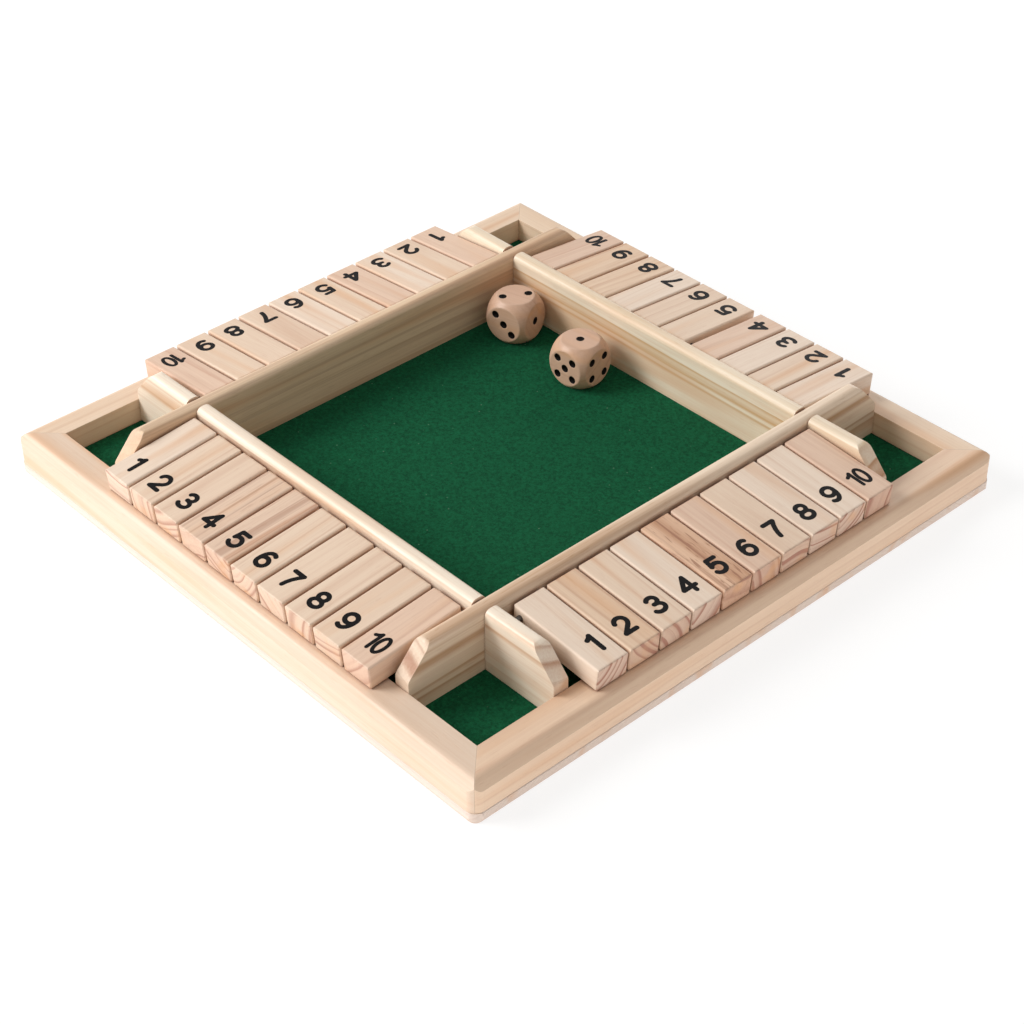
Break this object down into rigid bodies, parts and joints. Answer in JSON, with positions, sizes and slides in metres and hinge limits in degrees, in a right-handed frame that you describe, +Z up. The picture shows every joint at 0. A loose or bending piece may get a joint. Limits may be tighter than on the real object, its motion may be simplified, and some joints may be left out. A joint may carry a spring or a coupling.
{
  "type": "flip tile dice game board",
  "caption": "Square wooden game tray with rows of flip-over number tiles hinged on steel rods around a felt-lined field, and loose wooden dice.",
  "frame": {"origin": "middle of the underside of the base board", "axes": "+Z up out of the tray; +X towards the right row and +Y towards the back row of number tiles"},
  "size_m": [0.2796, 0.2796, 0.0349],
  "materials": {
    "base_ply": "satin lacquered plywood",
    "insert_ply": "raw plywood",
    "felt": "green felt",
    "rail_pine": "satin lacquered pine",
    "partition_pine": "satin lacquered pine",
    "rod_steel": "drawn steel rod",
    "tile_pine": "sanded pine",
    "die_beech": "waxed beech"
  },
  "bodies": {
    "tray": {"base_board": "base_ply", "insert_board": "insert_ply", "felt_liner": "felt", "rail_right": "rail_pine", "rail_back": "rail_pine", "rail_left": "rail_pine", "rail_front": "rail_pine", "partition_right": "partition_pine", "partition_back": "partition_pine", "partition_left": "partition_pine", "partition_front": "partition_pine", "rod_right": "rod_steel", "rod_back": "rod_steel", "rod_left": "rod_steel", "rod_front": "rod_steel"},
    "tile_right_01": {"tile_right_01": "tile_pine"},
    "tile_right_02": {"tile_right_02": "tile_pine"},
    "tile_right_03": {"tile_right_03": "tile_pine"},
    "tile_right_04": {"tile_right_04": "tile_pine"},
    "tile_right_05": {"tile_right_05": "tile_pine"},
    "tile_right_06": {"tile_right_06": "tile_pine"},
    "tile_right_07": {"tile_right_07": "tile_pine"},
    "tile_right_08": {"tile_right_08": "tile_pine"},
    "tile_right_09": {"tile_right_09": "tile_pine"},
    "tile_right_10": {"tile_right_10": "tile_pine"},
    "tile_back_01": {"tile_back_01": "tile_pine"},
    "tile_back_02": {"tile_back_02": "tile_pine"},
    "tile_back_03": {"tile_back_03": "tile_pine"},
    "tile_back_04": {"tile_back_04": "tile_pine"},
    "tile_back_05": {"tile_back_05": "tile_pine"},
    "tile_back_06": {"tile_back_06": "tile_pine"},
    "tile_back_07": {"tile_back_07": "tile_pine"},
    "tile_back_08": {"tile_back_08": "tile_pine"},
    "tile_back_09": {"tile_back_09": "tile_pine"},
    "tile_back_10": {"tile_back_10": "tile_pine"},
    "tile_left_01": {"tile_left_01": "tile_pine"},
    "tile_left_02": {"tile_left_02": "tile_pine"},
    "tile_left_03": {"tile_left_03": "tile_pine"},
    "tile_left_04": {"tile_left_04": "tile_pine"},
    "tile_left_05": {"tile_left_05": "tile_pine"},
    "tile_left_06": {"tile_left_06": "tile_pine"},
    "tile_left_07": {"tile_left_07": "tile_pine"},
    "tile_left_08": {"tile_left_08": "tile_pine"},
    "tile_left_09": {"tile_left_09": "tile_pine"},
    "tile_left_10": {"tile_left_10": "tile_pine"},
    "tile_front_01": {"tile_front_01": "tile_pine"},
    "tile_front_02": {"tile_front_02": "tile_pine"},
    "tile_front_03": {"tile_front_03": "tile_pine"},
    "tile_front_04": {"tile_front_04": "tile_pine"},
    "tile_front_05": {"tile_front_05": "tile_pine"},
    "tile_front_06": {"tile_front_06": "tile_pine"},
    "tile_front_07": {"tile_front_07": "tile_pine"},
    "tile_front_08": {"tile_front_08": "tile_pine"},
    "tile_front_09": {"tile_front_09": "tile_pine"},
    "tile_front_10": {"tile_front_10": "tile_pine"},
    "die_a": {"die_a": "die_beech"},
    "die_b": {"die_b": "die_beech"}
  },
  "joints": [
    {"name": "tile_right_01_flip", "type": "hinge", "parent": "tray", "child": "tile_right_01", "pos_m": [0.0948, -0.0694, 0.02804], "axis": [0, -1, 0], "range_deg": [0, 109.5]},
    {"name": "tile_right_02_flip", "type": "hinge", "parent": "tray", "child": "tile_right_02", "pos_m": [0.0948, -0.05345, 0.02804], "axis": [0, -1, 0], "range_deg": [0, 109.5]},
    {"name": "tile_right_03_flip", "type": "hinge", "parent": "tray", "child": "tile_right_03", "pos_m": [0.0948, -0.0375, 0.02804], "axis": [0, -1, 0], "range_deg": [0, 109.5]},
    {"name": "tile_right_04_flip", "type": "hinge", "parent": "tray", "child": "tile_right_04", "pos_m": [0.0948, -0.02155, 0.02804], "axis": [0, -1, 0], "range_deg": [0, 109.5]},
    {"name": "tile_right_05_flip", "type": "hinge", "parent": "tray", "child": "tile_right_05", "pos_m": [0.0948, -0.0056, 0.02804], "axis": [0, -1, 0], "range_deg": [0, 109.5]},
    {"name": "tile_right_06_flip", "type": "hinge", "parent": "tray", "child": "tile_right_06", "pos_m": [0.0948, 0.01035, 0.02804], "axis": [0, -1, 0], "range_deg": [0, 109.5]},
    {"name": "tile_right_07_flip", "type": "hinge", "parent": "tray", "child": "tile_right_07", "pos_m": [0.0948, 0.0263, 0.02804], "axis": [0, -1, 0], "range_deg": [0, 109.5]},
    {"name": "tile_right_08_flip", "type": "hinge", "parent": "tray", "child": "tile_right_08", "pos_m": [0.0948, 0.04225, 0.02804], "axis": [0, -1, 0], "range_deg": [0, 109.5]},
    {"name": "tile_right_09_flip", "type": "hinge", "parent": "tray", "child": "tile_right_09", "pos_m": [0.0948, 0.0582, 0.02804], "axis": [0, -1, 0], "range_deg": [0, 109.5]},
    {"name": "tile_right_10_flip", "type": "hinge", "parent": "tray", "child": "tile_right_10", "pos_m": [0.0948, 0.07415, 0.02804], "axis": [0, -1, 0], "range_deg": [0, 109.5]},
    {"name": "tile_back_01_flip", "type": "hinge", "parent": "tray", "child": "tile_back_01", "pos_m": [0.07235, 0.0948, 0.02804], "axis": [1, 0, 0], "range_deg": [0, 109.5]},
    {"name": "tile_back_02_flip", "type": "hinge", "parent": "tray", "child": "tile_back_02", "pos_m": [0.0565, 0.0948, 0.02804], "axis": [1, 0, 0], "range_deg": [0, 109.5]},
    {"name": "tile_back_03_flip", "type": "hinge", "parent": "tray", "child": "tile_back_03", "pos_m": [0.04065, 0.0948, 0.02804], "axis": [1, 0, 0], "range_deg": [0, 109.5]},
    {"name": "tile_back_04_flip", "type": "hinge", "parent": "tray", "child": "tile_back_04", "pos_m": [0.0248, 0.0948, 0.02804], "axis": [1, 0, 0], "range_deg": [0, 109.5]},
    {"name": "tile_back_05_flip", "type": "hinge", "parent": "tray", "child": "tile_back_05", "pos_m": [0.00655, 0.0948, 0.02804], "axis": [1, 0, 0], "range_deg": [0, 109.5]},
    {"name": "tile_back_06_flip", "type": "hinge", "parent": "tray", "child": "tile_back_06", "pos_m": [-0.0093, 0.0948, 0.02804], "axis": [1, 0, 0], "range_deg": [0, 109.5]},
    {"name": "tile_back_07_flip", "type": "hinge", "parent": "tray", "child": "tile_back_07", "pos_m": [-0.02515, 0.0948, 0.02804], "axis": [1, 0, 0], "range_deg": [0, 109.5]},
    {"name": "tile_back_08_flip", "type": "hinge", "parent": "tray", "child": "tile_back_08", "pos_m": [-0.041, 0.0948, 0.02804], "axis": [1, 0, 0], "range_deg": [0, 109.5]},
    {"name": "tile_back_09_flip", "type": "hinge", "parent": "tray", "child": "tile_back_09", "pos_m": [-0.05685, 0.0948, 0.02804], "axis": [1, 0, 0], "range_deg": [0, 109.5]},
    {"name": "tile_back_10_flip", "type": "hinge", "parent": "tray", "child": "tile_back_10", "pos_m": [-0.0727, 0.0948, 0.02804], "axis": [1, 0, 0], "range_deg": [0, 109.5]},
    {"name": "tile_left_01_flip", "type": "hinge", "parent": "tray", "child": "tile_left_01", "pos_m": [-0.0948, 0.0745, 0.02804], "axis": [0, 1, 0], "range_deg": [0, 109.5]},
    {"name": "tile_left_02_flip", "type": "hinge", "parent": "tray", "child": "tile_left_02", "pos_m": [-0.0948, 0.05833, 0.02804], "axis": [0, 1, 0], "range_deg": [0, 109.5]},
    {"name": "tile_left_03_flip", "type": "hinge", "parent": "tray", "child": "tile_left_03", "pos_m": [-0.0948, 0.04216, 0.02804], "axis": [0, 1, 0], "range_deg": [0, 109.5]},
    {"name": "tile_left_04_flip", "type": "hinge", "parent": "tray", "child": "tile_left_04", "pos_m": [-0.0948, 0.02599, 0.02804], "axis": [0, 1, 0], "range_deg": [0, 109.5]},
    {"name": "tile_left_05_flip", "type": "hinge", "parent": "tray", "child": "tile_left_05", "pos_m": [-0.0948, 0.00982, 0.02804], "axis": [0, 1, 0], "range_deg": [0, 109.5]},
    {"name": "tile_left_06_flip", "type": "hinge", "parent": "tray", "child": "tile_left_06", "pos_m": [-0.0948, -0.00635, 0.02804], "axis": [0, 1, 0], "range_deg": [0, 109.5]},
    {"name": "tile_left_07_flip", "type": "hinge", "parent": "tray", "child": "tile_left_07", "pos_m": [-0.0948, -0.02252, 0.02804], "axis": [0, 1, 0], "range_deg": [0, 109.5]},
    {"name": "tile_left_08_flip", "type": "hinge", "parent": "tray", "child": "tile_left_08", "pos_m": [-0.0948, -0.03869, 0.02804], "axis": [0, 1, 0], "range_deg": [0, 109.5]},
    {"name": "tile_left_09_flip", "type": "hinge", "parent": "tray", "child": "tile_left_09", "pos_m": [-0.0948, -0.05486, 0.02804], "axis": [0, 1, 0], "range_deg": [0, 109.5]},
    {"name": "tile_left_10_flip", "type": "hinge", "parent": "tray", "child": "tile_left_10", "pos_m": [-0.0948, -0.07103, 0.02804], "axis": [0, 1, 0], "range_deg": [0, 109.5]},
    {"name": "tile_front_01_flip", "type": "hinge", "parent": "tray", "child": "tile_front_01", "pos_m": [-0.07395, -0.0948, 0.02804], "axis": [-1, 0, 0], "range_deg": [0, 109.5]},
    {"name": "tile_front_02_flip", "type": "hinge", "parent": "tray", "child": "tile_front_02", "pos_m": [-0.05778, -0.0948, 0.02804], "axis": [-1, 0, 0], "range_deg": [0, 109.5]},
    {"name": "tile_front_03_flip", "type": "hinge", "parent": "tray", "child": "tile_front_03", "pos_m": [-0.04161, -0.0948, 0.02804], "axis": [-1, 0, 0], "range_deg": [0, 109.5]},
    {"name": "tile_front_04_flip", "type": "hinge", "parent": "tray", "child": "tile_front_04", "pos_m": [-0.02544, -0.0948, 0.02804], "axis": [-1, 0, 0], "range_deg": [0, 109.5]},
    {"name": "tile_front_05_flip", "type": "hinge", "parent": "tray", "child": "tile_front_05", "pos_m": [-0.00927, -0.0948, 0.02804], "axis": [-1, 0, 0], "range_deg": [0, 109.5]},
    {"name": "tile_front_06_flip", "type": "hinge", "parent": "tray", "child": "tile_front_06", "pos_m": [0.0069, -0.0948, 0.02804], "axis": [-1, 0, 0], "range_deg": [0, 109.5]},
    {"name": "tile_front_07_flip", "type": "hinge", "parent": "tray", "child": "tile_front_07", "pos_m": [0.02307, -0.0948, 0.02804], "axis": [-1, 0, 0], "range_deg": [0, 109.5]},
    {"name": "tile_front_08_flip", "type": "hinge", "parent": "tray", "child": "tile_front_08", "pos_m": [0.03924, -0.0948, 0.02804], "axis": [-1, 0, 0], "range_deg": [0, 109.5]},
    {"name": "tile_front_09_flip", "type": "hinge", "parent": "tray", "child": "tile_front_09", "pos_m": [0.05541, -0.0948, 0.02804], "axis": [-1, 0, 0], "range_deg": [0, 109.5]},
    {"name": "tile_front_10_flip", "type": "hinge", "parent": "tray", "child": "tile_front_10", "pos_m": [0.07158, -0.0948, 0.02804], "axis": [-1, 0, 0], "range_deg": [0, 109.5]},
    {"name": "die_a_lift", "type": "slide", "parent": "tray", "child": "die_a", "axis": [0, 0, 1], "range_m": [0, 0.08]},
    {"name": "die_b_lift", "type": "slide", "parent": "tray", "child": "die_b", "axis": [0, 0, 1], "range_m": [0, 0.08]}
  ]
}
